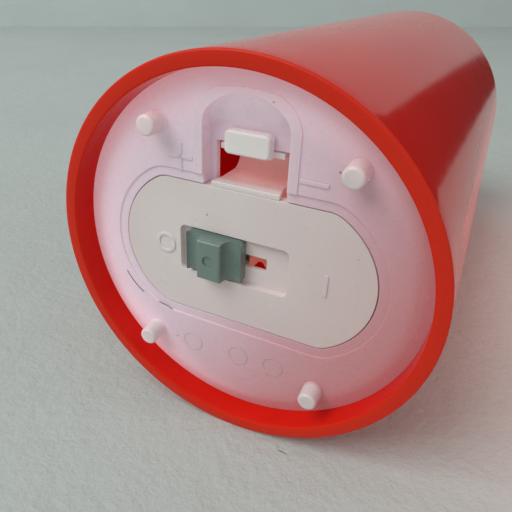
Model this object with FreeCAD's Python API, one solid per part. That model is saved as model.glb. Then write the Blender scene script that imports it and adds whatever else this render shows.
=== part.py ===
"""Battery-lit pillar candle: a red wax-look shell on a moulded base with a battery door.

Millimetres. The candle stands on its lip: Z = 0 is the lip's plane and +Z runs up the candle.
+X runs along the battery door towards ON, and -Y points at the door's latch.
"""
import FreeCAD, Part
import math
import os

from FreeCAD import Vector

os.makedirs("parts", exist_ok=True)

# --- driving dimensions -------------------------------------------------------------------
candle_diameter = 75.0
candle_height = 150.0
shell_wall = 2.6
shell_top_round = 2.5
lip_round = 0.35

dish_depth = 9.0
dish_rim_width = 6.0
dish_floor_radius = 21.0
dish_floor_thickness = 2.6

base_depth = 4.3
base_thickness = 2.2
base_edge_width = 3.3
base_edge_drop = 0.9
base_skirt_height = 12.0
base_skirt_wall = 1.6
base_shoulder = 0.5

peg_inset = 2.4
peg_angle = 51.5
peg_turn = 3.2
peg_root_diameter = 4.2
peg_tip_diameter = 3.7
peg_tip_round = 0.6
peg_tip_above_lip = 0.2

door_length = 51.0
door_width = 27.6
door_end_radius = 15.2
door_corner_round = 5.0
door_thickness = 2.2
door_gap = 0.25
door_band_width = 1.8
door_band_depth = 0.3
door_ledge_reach = 1.5
door_ledge_thickness = 1.2

tongue_width = 5.0
tongue_spacing = 21.0
tongue_reach = 2.0
tongue_thickness = 1.3
tongue_root = 2.2

scoop_width = 16.0
scoop_arch_height = 4.3
scoop_corner_round = 4.0
scoop_slope_length = 5.2
scoop_collar_width = 1.8
scoop_collar_height = 0.2
scoop_depth = 3.0
scoop_floor_length = 4.0
scoop_curve_radius = 19.5
scoop_floor_thickness = 1.4
scoop_wall = 1.4

latch_window_width = 13.8
latch_window_length = 7.7
latch_width = 12.0
latch_flare = 0.6
latch_thickness = 1.0
latch_leg_height = 5.5
latch_gap = 0.3
latch_hook_gap = 0.35
latch_catch_reach = 1.0
latch_catch_height = 1.4
latch_tab_width = 8.4
latch_tab_length = 4.1
latch_tab_height = 2.0
latch_tab_inset = 0.2
latch_tab_round = 0.9

switch_recess_length = 22.5
switch_recess_width = 9.6
switch_recess_depth = 1.3
switch_recess_round = 1.2
switch_offset = -1.9
switch_travel = 7.1
slide_gap = 0.1

slider_length = 11.6
slider_width = 9.0
slider_round = 1.0
slider_block_length = 5.0
slider_block_width = 8.1
slider_block_height = 3.0
slider_valley_radius = 1.8
slider_valley_floor = 0.2
slider_dimple_diameter = 2.4
slider_dimple_depth = 0.35
slider_stem_length = 5.7
slider_stem_width = 2.4

bridge_length = 12.0
bridge_width = 5.0
bridge_wiper_spacing = 9.0
bridge_wiper_radius = 1.1
contact_sheet = 0.4

carrier_length = 38.0
carrier_width = 13.0
carrier_thickness = 1.2
carrier_window_length = 6.4
carrier_window_width = 8.0
carrier_window_shift = 3.0
strip_width = 6.0
strip_reach = 9.0
leaf_half_length = 4.5
carrier_foot_diameter = 4.4
carrier_height = 2.6

cell_diameter = 14.5
cell_length = 50.5
cell_nub_diameter = 5.4
cell_nub_height = 1.0
cell_end_round = 0.6
cell_clearance = 0.25
cell_divider = 1.6
door_spring_height = 4.4
top_spring_height = 5.0
spring_wire = 0.6
spring_base_radius = 4.6
spring_top_radius = 2.8
spring_turns = 3

holder_wall = 1.5
holder_top_thickness = 1.8
holder_lead_in = 1.8
holder_arm_width = 8.0
holder_arm_thickness = 2.0
post_spacing_x = 30.0
post_spacing_y = 39.0
post_diameter = 6.0

screw_diameter = 2.2
screw_length = 7.0
screw_head_diameter = 4.2
screw_head_height = 1.4
small_screw_diameter = 1.6
small_screw_length = 4.0
small_head_diameter = 3.0
small_head_height = 0.9
driver_slot_width = 0.5
driver_slot_depth = 0.5

board_length = 24.0
board_width = 14.0
board_thickness = 1.6
board_standoff = 2.0
board_screw_spacing = 19.0
chip_diameter = 6.0
chip_height = 1.2
resistor_length = 5.6
resistor_diameter = 2.2
resistor_lead_span = 8.4
lead_diameter = 0.5
solder_tab_width = 2.4
solder_tab_height = 3.4
wire_diameter = 1.2
wire_bend = 3.0

collar_neck_diameter = 14.0
collar_flange_diameter = 20.0
collar_flange_height = 3.6
collar_floor = 1.5
flame_stem_diameter = 10.0
flame_bulge_diameter = 13.0
flame_height = 17.0
flame_tip_radius = 0.9
flame_bore_diameter = 6.6
flame_bore_height = 12.5
led_diameter = 5.0
led_flange_diameter = 5.8
led_flange_height = 1.0
led_height = 8.6
led_lead_spacing = 2.54
led_lead_length = 12.0

# --- sizes that follow --------------------------------------------------------------------
outer_radius = candle_diameter / 2
inner_radius = outer_radius - shell_wall
dish_floor_z = candle_height - dish_depth
ceiling_z = dish_floor_z - dish_floor_thickness

plateau_radius = inner_radius - base_edge_width
peg_spacing_x = 2 * (plateau_radius - peg_inset) * math.cos(math.radians(peg_angle))
peg_spacing_y = 2 * (plateau_radius - peg_inset) * math.sin(math.radians(peg_angle))
face_z = base_depth
base_inner_z = face_z + base_thickness
base_edge_z = face_z + base_edge_drop
shoulder_z = base_edge_z + base_skirt_height
bore_radius = inner_radius - base_shoulder

door_half_width = door_width / 2
door_face_z = face_z + door_band_depth
door_inner_z = door_face_z + door_thickness
ledge_z = door_inner_z + slide_gap
ledge_top_z = ledge_z + door_ledge_thickness
opening_half_width = door_half_width + door_gap
tongue_z = max(ledge_z, base_inner_z) + door_gap

latch_window_end = door_half_width + latch_window_length
scoop_floor_line = latch_window_end + scoop_floor_length
scoop_top = scoop_floor_line + scoop_slope_length
scoop_shoulder = scoop_top - scoop_arch_height
scoop_floor_z = face_z + scoop_depth
scoop_floor_top_z = scoop_floor_z + scoop_floor_thickness
latch_outer_y = -(latch_window_end - latch_gap)
latch_root_y = -(door_half_width + latch_thickness)
latch_bend_radius = (latch_root_y - latch_outer_y) / 2
latch_bend_y = (latch_root_y + latch_outer_y + latch_thickness) / 2
latch_bend_z = door_inner_z + latch_leg_height
latch_pivot_y = latch_outer_y + latch_thickness / 2
latch_pivot_z = latch_bend_z - latch_thickness / 2 - slide_gap

switch_floor_z = door_face_z + switch_recess_depth
switch_rest_x = switch_offset - switch_travel / 2
bridge_z = door_inner_z + slide_gap
carrier_z = door_inner_z + carrier_height
carrier_top_z = carrier_z + carrier_thickness
carrier_screw_x = carrier_length / 2 - carrier_foot_diameter / 2
fixed_contact_z = carrier_z - contact_sheet
window_middle = switch_offset + carrier_window_shift
window_x = (window_middle - carrier_window_length / 2, window_middle + carrier_window_length / 2)

cell_radius = cell_diameter / 2
tube_radius = cell_radius + cell_clearance
cell_x = tube_radius + cell_divider / 2
cell_bottom_z = carrier_top_z + contact_sheet + door_spring_height + door_gap
cell_top_z = cell_bottom_z + cell_length
holder_bottom_z = cell_bottom_z - holder_lead_in
holder_ceiling_z = cell_top_z + top_spring_height + contact_sheet
holder_top_z = holder_ceiling_z + holder_top_thickness
holder_outer_radius = tube_radius + holder_wall

board_z = holder_top_z + board_standoff
board_top_z = board_z + board_thickness
tab_x = board_length / 2 + 0.75 * solder_tab_width

collar_z = ceiling_z - collar_flange_height
collar_floor_z = collar_z + collar_floor
flame_z = dish_floor_z
flame_radius = flame_bulge_diameter / 2


# --- building blocks ----------------------------------------------------------------------
def box(x_range, y_range, z_range):
    low = Vector(x_range[0], y_range[0], z_range[0])
    return Part.makeBox(x_range[1] - x_range[0], y_range[1] - y_range[0], z_range[1] - z_range[0], low)


def rod(radius, z_range, x=0.0, y=0.0):
    return Part.makeCylinder(radius, z_range[1] - z_range[0], Vector(x, y, z_range[0]))


def fused(shapes):
    first, rest = shapes[0], shapes[1:]
    return first.fuse(rest).removeSplitter() if rest else first


def turned(points, x=0.0, y=0.0):
    """Solid of revolution about a vertical axis from (radius, z) points."""
    corners = [Vector(radius, 0, z) for radius, z in points]
    face = Part.Face(Part.makePolygon(corners + corners[:1]))
    solid = face.revolve(Vector(0, 0, 0), Vector(0, 0, 1), 360)
    solid.translate(Vector(x, y, 0))
    return solid


def prism(wire, z_range):
    wire = wire.copy()
    wire.translate(Vector(0, 0, z_range[0]))
    return Part.Face(wire).extrude(Vector(0, 0, z_range[1] - z_range[0]))


def rounded_plate(length, width, corner, z_range, x=0.0, y=0.0):
    x_range = (x - length / 2, x + length / 2)
    plate = box(x_range, (y - width / 2, y + width / 2), z_range)
    return plate.makeFillet(corner, vertical_edges(plate))


def vertical_edges(shape):
    return [edge for edge in shape.Edges if is_along(edge, Vector(0, 0, 1))]


def is_along(edge, direction):
    if not isinstance(edge.Curve, (Part.Line, Part.LineSegment)):
        return False
    return abs(edge.tangentAt(edge.FirstParameter).dot(direction)) > 0.999


def level_edges(shape, z):
    box_of = [(edge, edge.BoundBox) for edge in shape.Edges]
    return [edge for edge, b in box_of if abs(b.ZMin - z) < 1e-4 and abs(b.ZMax - z) < 1e-4]


def corners(spacing_x, spacing_y):
    return [(sx * spacing_x / 2, sy * spacing_y / 2) for sx in (-1, 1) for sy in (-1, 1)]


def wire_tube(points, diameter, bend):
    """Round tube along straight runs joined by tangent arcs."""
    path = Part.makePolygon([Vector(*p) for p in points])
    edges = []
    start = Vector(*points[0])
    for before, corner, after in zip(points, points[1:], points[2:]):
        a, b, c = Vector(*before), Vector(*corner), Vector(*after)
        into, out = (b - a).normalize(), (c - b).normalize()
        half_turn = into.getAngle(out) / 2
        cut = bend * math.tan(half_turn)
        arc_start, arc_end = b - into * cut, b + out * cut
        inward = (out - into).normalize()
        middle = b + inward * (bend / math.cos(half_turn) - bend)
        edges.append(Part.LineSegment(start, arc_start).toShape())
        edges.append(Part.Arc(arc_start, middle, arc_end).toShape())
        start = arc_end
    edges.append(Part.LineSegment(start, Vector(*points[-1])).toShape())
    path = Part.Wire(edges)
    heading = (Vector(*points[1]) - Vector(*points[0])).normalize()
    ring = Part.Wire(Part.makeCircle(diameter / 2, Vector(*points[0]), heading))
    return path.makePipeShell([ring], True, False)


def screw(x, y, seat_z, size):
    """Slotted screw whose head sits on seat_z, with its shank running down."""
    diameter, length, head_diameter, head_height = size
    head = rod(head_diameter / 2, (0, head_height))
    slot = box((-head_diameter, head_diameter), (-driver_slot_width / 2, driver_slot_width / 2),
               (head_height - driver_slot_depth, head_height + 1))
    body = fused([head.cut(slot), rod(diameter / 2, (-length, 0))])
    body.translate(Vector(x, y, seat_z))
    return body


def coil(x, base_z, height, base_radius, top_radius, points_up):
    """Conical coil spring made of stacked rings joined by a slanting strut."""
    pitch = (height - spring_wire) / spring_turns
    rings = []
    for turn in range(spring_turns + 1):
        share = turn / spring_turns
        radius = base_radius + (top_radius - base_radius) * share
        z = spring_wire / 2 + pitch * turn
        rings.append(Part.makeTorus(radius, spring_wire / 2, Vector(0, 0, z)))
    low = Vector(base_radius, 0, spring_wire / 2)
    high = Vector(top_radius, 0, height - spring_wire / 2)
    strut = Part.makeCylinder(spring_wire / 2, (high - low).Length, low, high - low)
    spring = fused(rings + [strut])
    if not points_up:
        spring.rotate(Vector(0, 0, 0), Vector(1, 0, 0), 180)
    spring.translate(Vector(x, 0, base_z))
    return spring


def straight(start, end):
    """Straight edge between two (x, z) points."""
    return Part.LineSegment(Vector(start[0], 0, start[1]), Vector(end[0], 0, end[1])).toShape()


def arc(start, middle, end):
    """Arc through three (x, z) points."""
    points = [Vector(x, 0, z) for x, z in (start, middle, end)]
    return Part.Arc(*points).toShape()


# --- outlines -----------------------------------------------------------------------------
def door_prism(grow, z_range):
    """Door shape with its four corners rounded, grown by the given distance."""
    plate = prism(door_outline(grow), z_range)
    return plate.makeFillet(door_corner_round + grow, vertical_edges(plate))


def door_outline(grow):
    """Door edge: two straight sides and two end arcs, grown by the given distance."""
    half_length = door_length / 2 + grow
    half_width = door_half_width + grow
    end_radius = door_end_radius + grow
    end_centre = half_length - end_radius
    flat = end_centre + math.sqrt(end_radius ** 2 - half_width ** 2)
    sides = []
    for side in (1, -1):
        start = Vector(flat * side, -half_width * side, 0)
        end = Vector(flat * side, half_width * side, 0)
        sides.append(Part.Arc(start, Vector(half_length * side, 0, 0), end).toShape())
        sides.append(Part.LineSegment(end, Vector(-flat * side, half_width * side, 0)).toShape())
    return Part.Wire(sides)


def scoop_prism(grow, z_range):
    """Thumb scoop shape with its two shoulders rounded, grown by the given distance."""
    arch = prism(scoop_outline(grow), z_range)
    shoulders = [edge for edge in vertical_edges(arch) if edge.BoundBox.YMax < -latch_window_end]
    return arch.makeFillet(scoop_corner_round + grow, shoulders)


def scoop_outline(grow):
    """Thumb scoop edge: an arch whose foot reaches under the door's edge."""
    half = scoop_width / 2 + grow
    foot = Vector(-half, -door_half_width + door_gap, 0)
    shoulder = Vector(-half, -scoop_shoulder - grow / 2, 0)
    top = Vector(0, -scoop_top - grow, 0)
    far_shoulder = Vector(half, shoulder.y, 0)
    far_foot = Vector(half, foot.y, 0)
    edges = [
        Part.LineSegment(foot, shoulder).toShape(),
        Part.Arc(shoulder, top, far_shoulder).toShape(),
        Part.LineSegment(far_shoulder, far_foot).toShape(),
        Part.LineSegment(far_foot, foot).toShape(),
    ]
    return Part.Wire(edges)


# --- shell and base -----------------------------------------------------------------------
def make_candle_shell():
    rim_radius = outer_radius - dish_rim_width
    shell = turned([
        (inner_radius, 0), (outer_radius, 0), (outer_radius, candle_height),
        (rim_radius, candle_height), (dish_floor_radius, dish_floor_z),
        (collar_neck_diameter / 2, dish_floor_z), (collar_neck_diameter / 2, ceiling_z),
        (bore_radius, ceiling_z), (bore_radius, shoulder_z), (inner_radius, shoulder_z),
    ])
    shell = shell.makeFillet(shell_top_round, ring_edges(shell, outer_radius, candle_height))
    shell = shell.makeFillet(shell_top_round, ring_edges(shell, rim_radius, candle_height))
    return shell.makeFillet(lip_round, level_edges(shell, 0))


def ring_edges(shape, radius, z):
    return [edge for edge in level_edges(shape, z) if abs(edge.BoundBox.XMax - radius) < 1e-4]


def make_base_insert():
    plateau = plateau_radius
    edge_middle = (plateau + inner_radius) / 2
    plate = turned([
        (0, face_z), (plateau, face_z), (edge_middle, face_z + base_edge_drop / 3),
        (inner_radius, base_edge_z), (inner_radius, shoulder_z),
        (inner_radius - base_skirt_wall, shoulder_z),
        (inner_radius - base_skirt_wall, base_edge_z + base_thickness),
        (plateau, base_inner_z), (0, base_inner_z),
    ])
    raised = scoop_prism(scoop_collar_width, (face_z - scoop_collar_height, base_inner_z))
    raised = raised.common(rod(plateau, (0, base_inner_z)))
    scoop_box = scoop_prism(scoop_wall, (base_inner_z, scoop_floor_top_z))
    ledge = door_prism(door_ledge_reach, (base_inner_z, ledge_top_z))
    posts = [rod(post_diameter / 2, (base_inner_z, holder_bottom_z), x, y)
             for x, y in corners(post_spacing_x, post_spacing_y)]
    body = fused([plate, raised, scoop_box, ledge] + posts + make_pegs())
    for cut in door_cuts() + scoop_cuts() + post_holes():
        body = body.cut(cut)
    return body


def make_pegs():
    """Four tapered feet, set on a rectangle that is turned a little from the door's axis."""
    pegs = []
    for x, y in corners(peg_spacing_x, peg_spacing_y):
        height = base_inner_z - peg_tip_above_lip
        peg = Part.makeCone(peg_tip_diameter / 2, peg_root_diameter / 2, height,
                            Vector(x, y, peg_tip_above_lip))
        peg = peg.makeFillet(peg_tip_round, level_edges(peg, peg_tip_above_lip))
        peg.rotate(Vector(0, 0, 0), Vector(0, 0, 1), peg_turn)
        pegs.append(peg)
    return pegs


def door_cuts():
    band = door_prism(door_gap + door_band_width, (face_z - scoop_collar_height - 1, door_face_z))
    opening = door_prism(door_gap, (0, ledge_z))
    inside = door_prism(-door_ledge_reach, (0, ledge_top_z + 1))
    tongue_slots = []
    for side in (-1, 1):
        middle = side * tongue_spacing / 2
        reach = tongue_width / 2 + door_gap
        tongue_slots.append(box((middle - reach, middle + reach), (0, inner_radius / 2 + tongue_reach),
                                (max(ledge_z, base_inner_z), ledge_top_z + 1)))
    return [band, opening, inside] + tongue_slots


def scoop_cuts():
    """Thumb scoop with a coned back, and the window that the latch drops through."""
    cone_y = scoop_curve_radius - scoop_floor_line
    rise = (scoop_top - scoop_floor_line) / scoop_depth
    above = 2.0
    top_radius = scoop_curve_radius + rise * (scoop_depth + above)
    cone = Part.makeCone(top_radius, scoop_curve_radius, scoop_depth + above,
                         Vector(0, cone_y, face_z - above))
    pocket = scoop_prism(0, (face_z - above, scoop_floor_z)).common(cone)
    half = latch_window_width / 2
    window = box((-half, half), (-latch_window_end, -opening_half_width + door_ledge_reach + door_gap),
                 (scoop_floor_z - 1, ledge_top_z + scoop_depth))
    return [pocket, window]


def post_holes():
    depth = screw_length - holder_arm_thickness + 0.5
    return [rod(screw_diameter / 2, (holder_bottom_z - depth, holder_bottom_z + 1), x, y)
            for x, y in corners(post_spacing_x, post_spacing_y)]


# --- battery door, latch and switch -------------------------------------------------------
def make_battery_door():
    plate = door_prism(0, (door_face_z, door_inner_z))
    tongues = []
    for side in (-1, 1):
        middle = side * tongue_spacing / 2
        x_range = (middle - tongue_width / 2, middle + tongue_width / 2)
        root_y = door_half_width - tongue_root
        top_z = tongue_z + tongue_thickness
        tongues.append(box(x_range, (root_y, door_half_width), (door_inner_z, top_z)))
        tongues.append(box(x_range, (door_half_width, door_half_width + tongue_reach), (tongue_z, top_z)))
    feet = [rod(carrier_foot_diameter / 2, (door_inner_z, carrier_z), side * carrier_screw_x)
            for side in (-1, 1)]
    door = fused([plate] + tongues + feet)
    recess = rounded_plate(switch_recess_length, switch_recess_width, switch_recess_round,
                           (door_face_z - 1, switch_floor_z), switch_offset)
    slot_length = switch_travel + slider_stem_length + 2 * slide_gap
    slot = rounded_plate(slot_length, slider_stem_width + 2 * slide_gap, 0.3,
                         (switch_floor_z - 0.5, door_inner_z + 1), switch_offset)
    hole_range = (carrier_z - small_screw_length, carrier_z + 1)
    holes = [rod(small_screw_diameter / 2, hole_range, side * carrier_screw_x) for side in (-1, 1)]
    for cut in [recess, slot] + holes:
        door = door.cut(cut)
    return door


def make_latch_spring():
    """U-shaped spring tongue: a leg rising from the door's edge and the bend at its top."""
    half = latch_width / 2
    flare = half + latch_flare
    foot_z = door_face_z + latch_tab_inset
    neck_z = door_inner_z + 2 * latch_flare
    outline = [(-flare, foot_z), (flare, foot_z), (half, neck_z), (half, latch_bend_z),
               (-half, latch_bend_z), (-half, neck_z)]
    points = [Vector(x, latch_root_y, z) for x, z in outline]
    leg = Part.Face(Part.makePolygon(points + points[:1])).extrude(Vector(0, latch_thickness, 0))
    centre = Vector(-half, latch_bend_y, latch_bend_z)
    outer_radius_of_bend = latch_bend_radius + latch_thickness / 2
    bend = Part.makeCylinder(outer_radius_of_bend, latch_width, centre, Vector(1, 0, 0))
    inside = outer_radius_of_bend - latch_thickness
    bend = bend.cut(Part.makeCylinder(inside, latch_width, centre, Vector(1, 0, 0)))
    above = box((-half, half), (latch_outer_y - 1, latch_root_y + 2), (latch_bend_z, 2 * latch_bend_z))
    return fused([leg, bend.common(above)])


def make_latch_tab():
    """Free leg of the latch with its hook and the thumb tab; it swings about its rounded top."""
    half = latch_width / 2
    y_range = (latch_outer_y, latch_outer_y + latch_thickness)
    tab_z = door_face_z + latch_tab_inset
    leg = box((-half, half), y_range, (scoop_floor_z, latch_pivot_z))
    top = Part.makeCylinder(latch_thickness / 2, latch_width, Vector(-half, latch_pivot_y, latch_pivot_z),
                            Vector(1, 0, 0))
    hook_z = scoop_floor_top_z + latch_hook_gap
    hook = [Vector(-half, latch_outer_y, hook_z), Vector(-half, latch_outer_y - latch_catch_reach, hook_z),
            Vector(-half, latch_outer_y, hook_z + latch_catch_height)]
    catch = Part.Face(Part.makePolygon(hook + hook[:1])).extrude(Vector(latch_width, 0, 0))
    tab_half = latch_tab_width / 2
    tab_end = y_range[1]
    tab = box((-tab_half, tab_half), (tab_end - latch_tab_length, tab_end), (tab_z, tab_z + latch_tab_height))
    tab = tab.makeFillet(latch_tab_round, vertical_edges(tab))
    tab = tab.makeFillet(latch_tab_round / 2, level_edges(tab, tab_z))
    neck = box((-tab_half, tab_half), y_range, (tab_z + latch_tab_round, scoop_floor_z + latch_thickness))
    return fused([leg, neck, top, catch, tab])


def make_switch_slider():
    """Plate with a finger block on it, and a stem that reaches through the door's slot."""
    face = door_face_z
    top_z = face - slider_block_height
    plate = rounded_plate(slider_length, slider_width, slider_round, (face, switch_floor_z - slide_gap))
    block = valley_block(top_z)
    block = block.makeFillet(slider_round / 2, level_edges(block, top_z))
    dimple = rod(slider_dimple_diameter / 2, (top_z - 1, top_z + slider_dimple_depth))
    half_stem_length, half_stem_width = slider_stem_length / 2, slider_stem_width / 2
    stem = box((-half_stem_length, half_stem_length), (-half_stem_width, half_stem_width),
               (switch_floor_z - slide_gap, bridge_z))
    slider = fused([plate, block.cut(dimple), stem])
    slider.translate(Vector(switch_rest_x, 0, 0))
    return slider


def valley_block(top_z):
    """Finger block with a hollow valley on each side that rises to a low ridge at the plate's end."""
    radius = slider_valley_radius
    end, block_end = slider_length / 2, slider_block_length / 2
    axis_x = block_end + radius
    floor_z = door_face_z - slider_valley_floor
    axis_z = floor_z - radius
    ridge_z = axis_z + math.sqrt(radius ** 2 - (end - axis_x) ** 2)
    edges = [
        straight((-end, door_face_z), (end, door_face_z)), straight((end, door_face_z), (end, ridge_z)),
        arc((end, ridge_z), (axis_x, floor_z), (block_end, axis_z)),
        straight((block_end, axis_z), (block_end, top_z)), straight((block_end, top_z), (-block_end, top_z)),
        straight((-block_end, top_z), (-block_end, axis_z)),
        arc((-block_end, axis_z), (-axis_x, floor_z), (-end, ridge_z)),
        straight((-end, ridge_z), (-end, door_face_z)),
    ]
    block = Part.Face(Part.Wire(edges)).extrude(Vector(0, slider_block_width, 0))
    block.translate(Vector(0, -slider_block_width / 2, 0))
    return block


def make_bridge_contact():
    half_width = bridge_width / 2
    top_z = bridge_z + contact_sheet
    x_range = (switch_rest_x - bridge_length / 2, switch_rest_x + bridge_length / 2)
    plate = box(x_range, (-half_width, half_width), (bridge_z, top_z))
    wipers = []
    for side in (-1, 1):
        foot = Vector(switch_rest_x + side * bridge_wiper_spacing / 2, 0, top_z)
        height = fixed_contact_z - slide_gap - top_z
        wipers.append(Part.makeCone(bridge_wiper_radius, bridge_wiper_radius / 2, height, foot))
    return fused([plate] + wipers)


def make_contact_carrier():
    plate = rounded_plate(carrier_length, carrier_width, carrier_foot_diameter / 2,
                          (carrier_z, carrier_top_z))
    window = box(window_x, (-carrier_window_width / 2, carrier_window_width / 2), (0, carrier_top_z + 1))
    holes = [rod(small_screw_diameter / 2, (0, carrier_top_z + 1), side * carrier_screw_x)
             for side in (-1, 1)]
    for cut in [window] + holes:
        plate = plate.cut(cut)
    return plate


def clip_strip(side, top_end):
    """Strip that wraps one side of the carrier's window, from below the carrier to its top."""
    edge = window_x[0] if side < 0 else window_x[1]
    inner = edge - side * contact_sheet
    y_range = (-strip_width / 2, strip_width / 2)
    low_end = edge + side * strip_reach
    below = box(sorted((inner, low_end)), y_range, (fixed_contact_z, carrier_z))
    riser = box(sorted((inner, edge)), y_range, (fixed_contact_z, carrier_top_z + contact_sheet))
    above = box(sorted((inner, top_end)), y_range, (carrier_top_z, carrier_top_z + contact_sheet))
    return fused([below, riser, above])


def leaf(x, foot_z, tip_z, width):
    """Folded spring leaf whose ridge reaches tip_z."""
    rise = contact_sheet if tip_z > foot_z else -contact_sheet
    outline = [(-leaf_half_length, foot_z), (-leaf_half_length / 3, tip_z), (leaf_half_length / 3, tip_z),
               (leaf_half_length, foot_z), (leaf_half_length - contact_sheet, foot_z),
               (leaf_half_length / 3 - contact_sheet, tip_z - rise),
               (contact_sheet - leaf_half_length / 3, tip_z - rise),
               (contact_sheet - leaf_half_length, foot_z)]
    points = [Vector(x + dx, -width / 2, z) for dx, z in outline]
    return Part.Face(Part.makePolygon(points + points[:1])).extrude(Vector(0, width, 0))


def make_door_contact_positive():
    plate_z = carrier_top_z + contact_sheet
    strip = clip_strip(-1, -cell_x - leaf_half_length)
    return fused([strip, leaf(-cell_x, plate_z, plate_z + door_spring_height, strip_width)])


def make_door_contact_negative():
    return clip_strip(1, cell_x + leaf_half_length)


def make_door_spring():
    return coil(cell_x, carrier_top_z + contact_sheet, door_spring_height, spring_base_radius,
                spring_top_radius, True)


# --- power pack ---------------------------------------------------------------------------
def make_battery_holder():
    z_range = (holder_bottom_z, holder_top_z)
    tubes = [rod(holder_outer_radius, z_range, side * cell_x) for side in (-1, 1)]
    web = box((-cell_x, cell_x), (-holder_outer_radius / 2, holder_outer_radius / 2), z_range)
    arms = []
    for x, y in corners(post_spacing_x, post_spacing_y):
        x_range = (x - holder_arm_width / 2, x + holder_arm_width / 2)
        root_y = math.copysign(holder_outer_radius / 2, y)
        y_range = sorted((root_y, y + math.copysign(holder_arm_width / 2, y)))
        arms.append(box(x_range, y_range, (holder_bottom_z, holder_bottom_z + holder_arm_thickness)))
    stands = [rod(small_head_diameter * 0.7, (holder_top_z, board_z), side * board_screw_spacing / 2)
              for side in (-1, 1)]
    body = fused(tubes + [web] + arms + stands)
    bores = [rod(tube_radius, (0, holder_ceiling_z), side * cell_x) for side in (-1, 1)]
    slots = [tab_box(side, (holder_ceiling_z - 1, holder_top_z + 1), slide_gap) for side in (-1, 1)]
    arm_holes = [rod(screw_diameter / 2, (0, holder_bottom_z + holder_arm_thickness + 1), x, y)
                 for x, y in corners(post_spacing_x, post_spacing_y)]
    stand_holes = [rod(small_screw_diameter / 2, (board_top_z - small_screw_length, board_z + 1), x, 0)
                   for x in (-board_screw_spacing / 2, board_screw_spacing / 2)]
    for cut in bores + slots + arm_holes + stand_holes:
        body = body.cut(cut)
    return body


def tab_box(side, z_range, grow=0.0):
    """Space of a contact's solder tab where it passes through the holder's top."""
    near = side * (tab_x - contact_sheet / 2 - grow)
    far = side * (tab_x + contact_sheet / 2 + grow)
    half = solder_tab_width / 2 + grow
    return box(sorted((near, far)), (-half, half), z_range)


def top_plate(side):
    sheet_z = holder_ceiling_z - contact_sheet
    far = side * (tab_x + contact_sheet / 2)
    near = side * (cell_x - leaf_half_length)
    plate = box(sorted((near, far)), (-strip_width / 2, strip_width / 2), (sheet_z, holder_ceiling_z))
    return fused([plate, tab_box(side, (sheet_z, holder_top_z + solder_tab_height))])


def make_top_contact_negative():
    return top_plate(-1)


def make_top_contact_positive():
    sheet_z = holder_ceiling_z - contact_sheet
    return fused([top_plate(1), leaf(cell_x, sheet_z, cell_top_z, strip_width)])


def make_top_spring():
    return coil(-cell_x, holder_ceiling_z - contact_sheet, top_spring_height, spring_base_radius,
                spring_top_radius, False)


def make_battery(side):
    """Dry cell; the left one stands on its terminal and the right one on its flat end."""
    can_length = cell_length - cell_nub_height
    can = rod(cell_radius, (0, can_length))
    can = can.makeFillet(cell_end_round, level_edges(can, 0) + level_edges(can, can_length))
    nub = rod(cell_nub_diameter / 2, (can_length, cell_length))
    cell = fused([can, nub.makeFillet(cell_nub_height / 3, level_edges(nub, cell_length))])
    if side < 0:
        cell.rotate(Vector(0, 0, 0), Vector(1, 0, 0), 180)
        cell.translate(Vector(0, 0, cell_length))
    cell.translate(Vector(side * cell_x, 0, cell_bottom_z))
    return cell


def make_circuit_board():
    board = rounded_plate(board_length, board_width, 1.0, (board_z, board_top_z))
    for side in (-1, 1):
        board = board.cut(rod(small_screw_diameter / 2, (0, board_top_z + 1), side * board_screw_spacing / 2))
    return board


def make_controller_blob():
    blob = rod(chip_diameter / 2, (board_top_z, board_top_z + chip_height))
    return blob.makeFillet(chip_height * 0.7, level_edges(blob, board_top_z + chip_height))


def make_resistor():
    """Axial resistor lying across the board, with its two bent leads."""
    y = -(board_width / 2 - resistor_diameter)
    z = board_top_z + resistor_diameter / 2 + slide_gap
    body = Part.makeCylinder(resistor_diameter / 2, resistor_length, Vector(-resistor_length / 2, y, z),
                             Vector(1, 0, 0))
    half = resistor_lead_span / 2
    points = [(-half, y, board_top_z), (-half, y, z), (half, y, z), (half, y, board_top_z)]
    return fused([body, wire_tube(points, lead_diameter, lead_diameter)])


def supply_wire(side):
    start_z = holder_top_z + solder_tab_height
    loop_z = start_z + 2 * wire_bend
    board_x = side * (chip_diameter / 2 + 2.5 * wire_diameter)
    far = side * tab_x
    return wire_tube([(far, 0, start_z), (far, 0, loop_z), (board_x, 0, loop_z), (board_x, 0, board_top_z)],
                     wire_diameter, wire_bend)


def make_led_wires():
    wires = []
    top_z = collar_floor_z - led_lead_length
    for side in (-1, 1):
        low_x = side * (chip_diameter / 2 + wire_diameter)
        high_x = side * led_lead_spacing / 2
        middle = (board_top_z + top_z) / 2
        wires.append(wire_tube([(low_x, 0, board_top_z), (low_x, 0, middle - 2 * wire_bend),
                                (high_x, 0, middle + 2 * wire_bend), (high_x, 0, top_z)],
                               wire_diameter, wire_bend))
    return Part.makeCompound(wires)


# --- light --------------------------------------------------------------------------------
def make_flame_collar():
    neck, flange = collar_neck_diameter / 2, collar_flange_diameter / 2
    collar = turned([(0, collar_z), (flange, collar_z), (flange, ceiling_z), (neck, ceiling_z),
                     (neck, dish_floor_z), (flame_stem_diameter / 2, dish_floor_z),
                     (flame_stem_diameter / 2, collar_floor_z), (0, collar_floor_z)])
    for side in (-1, 1):
        collar = collar.cut(rod(lead_diameter / 2, (0, collar_floor_z + 1), side * led_lead_spacing / 2))
    return collar


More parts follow.
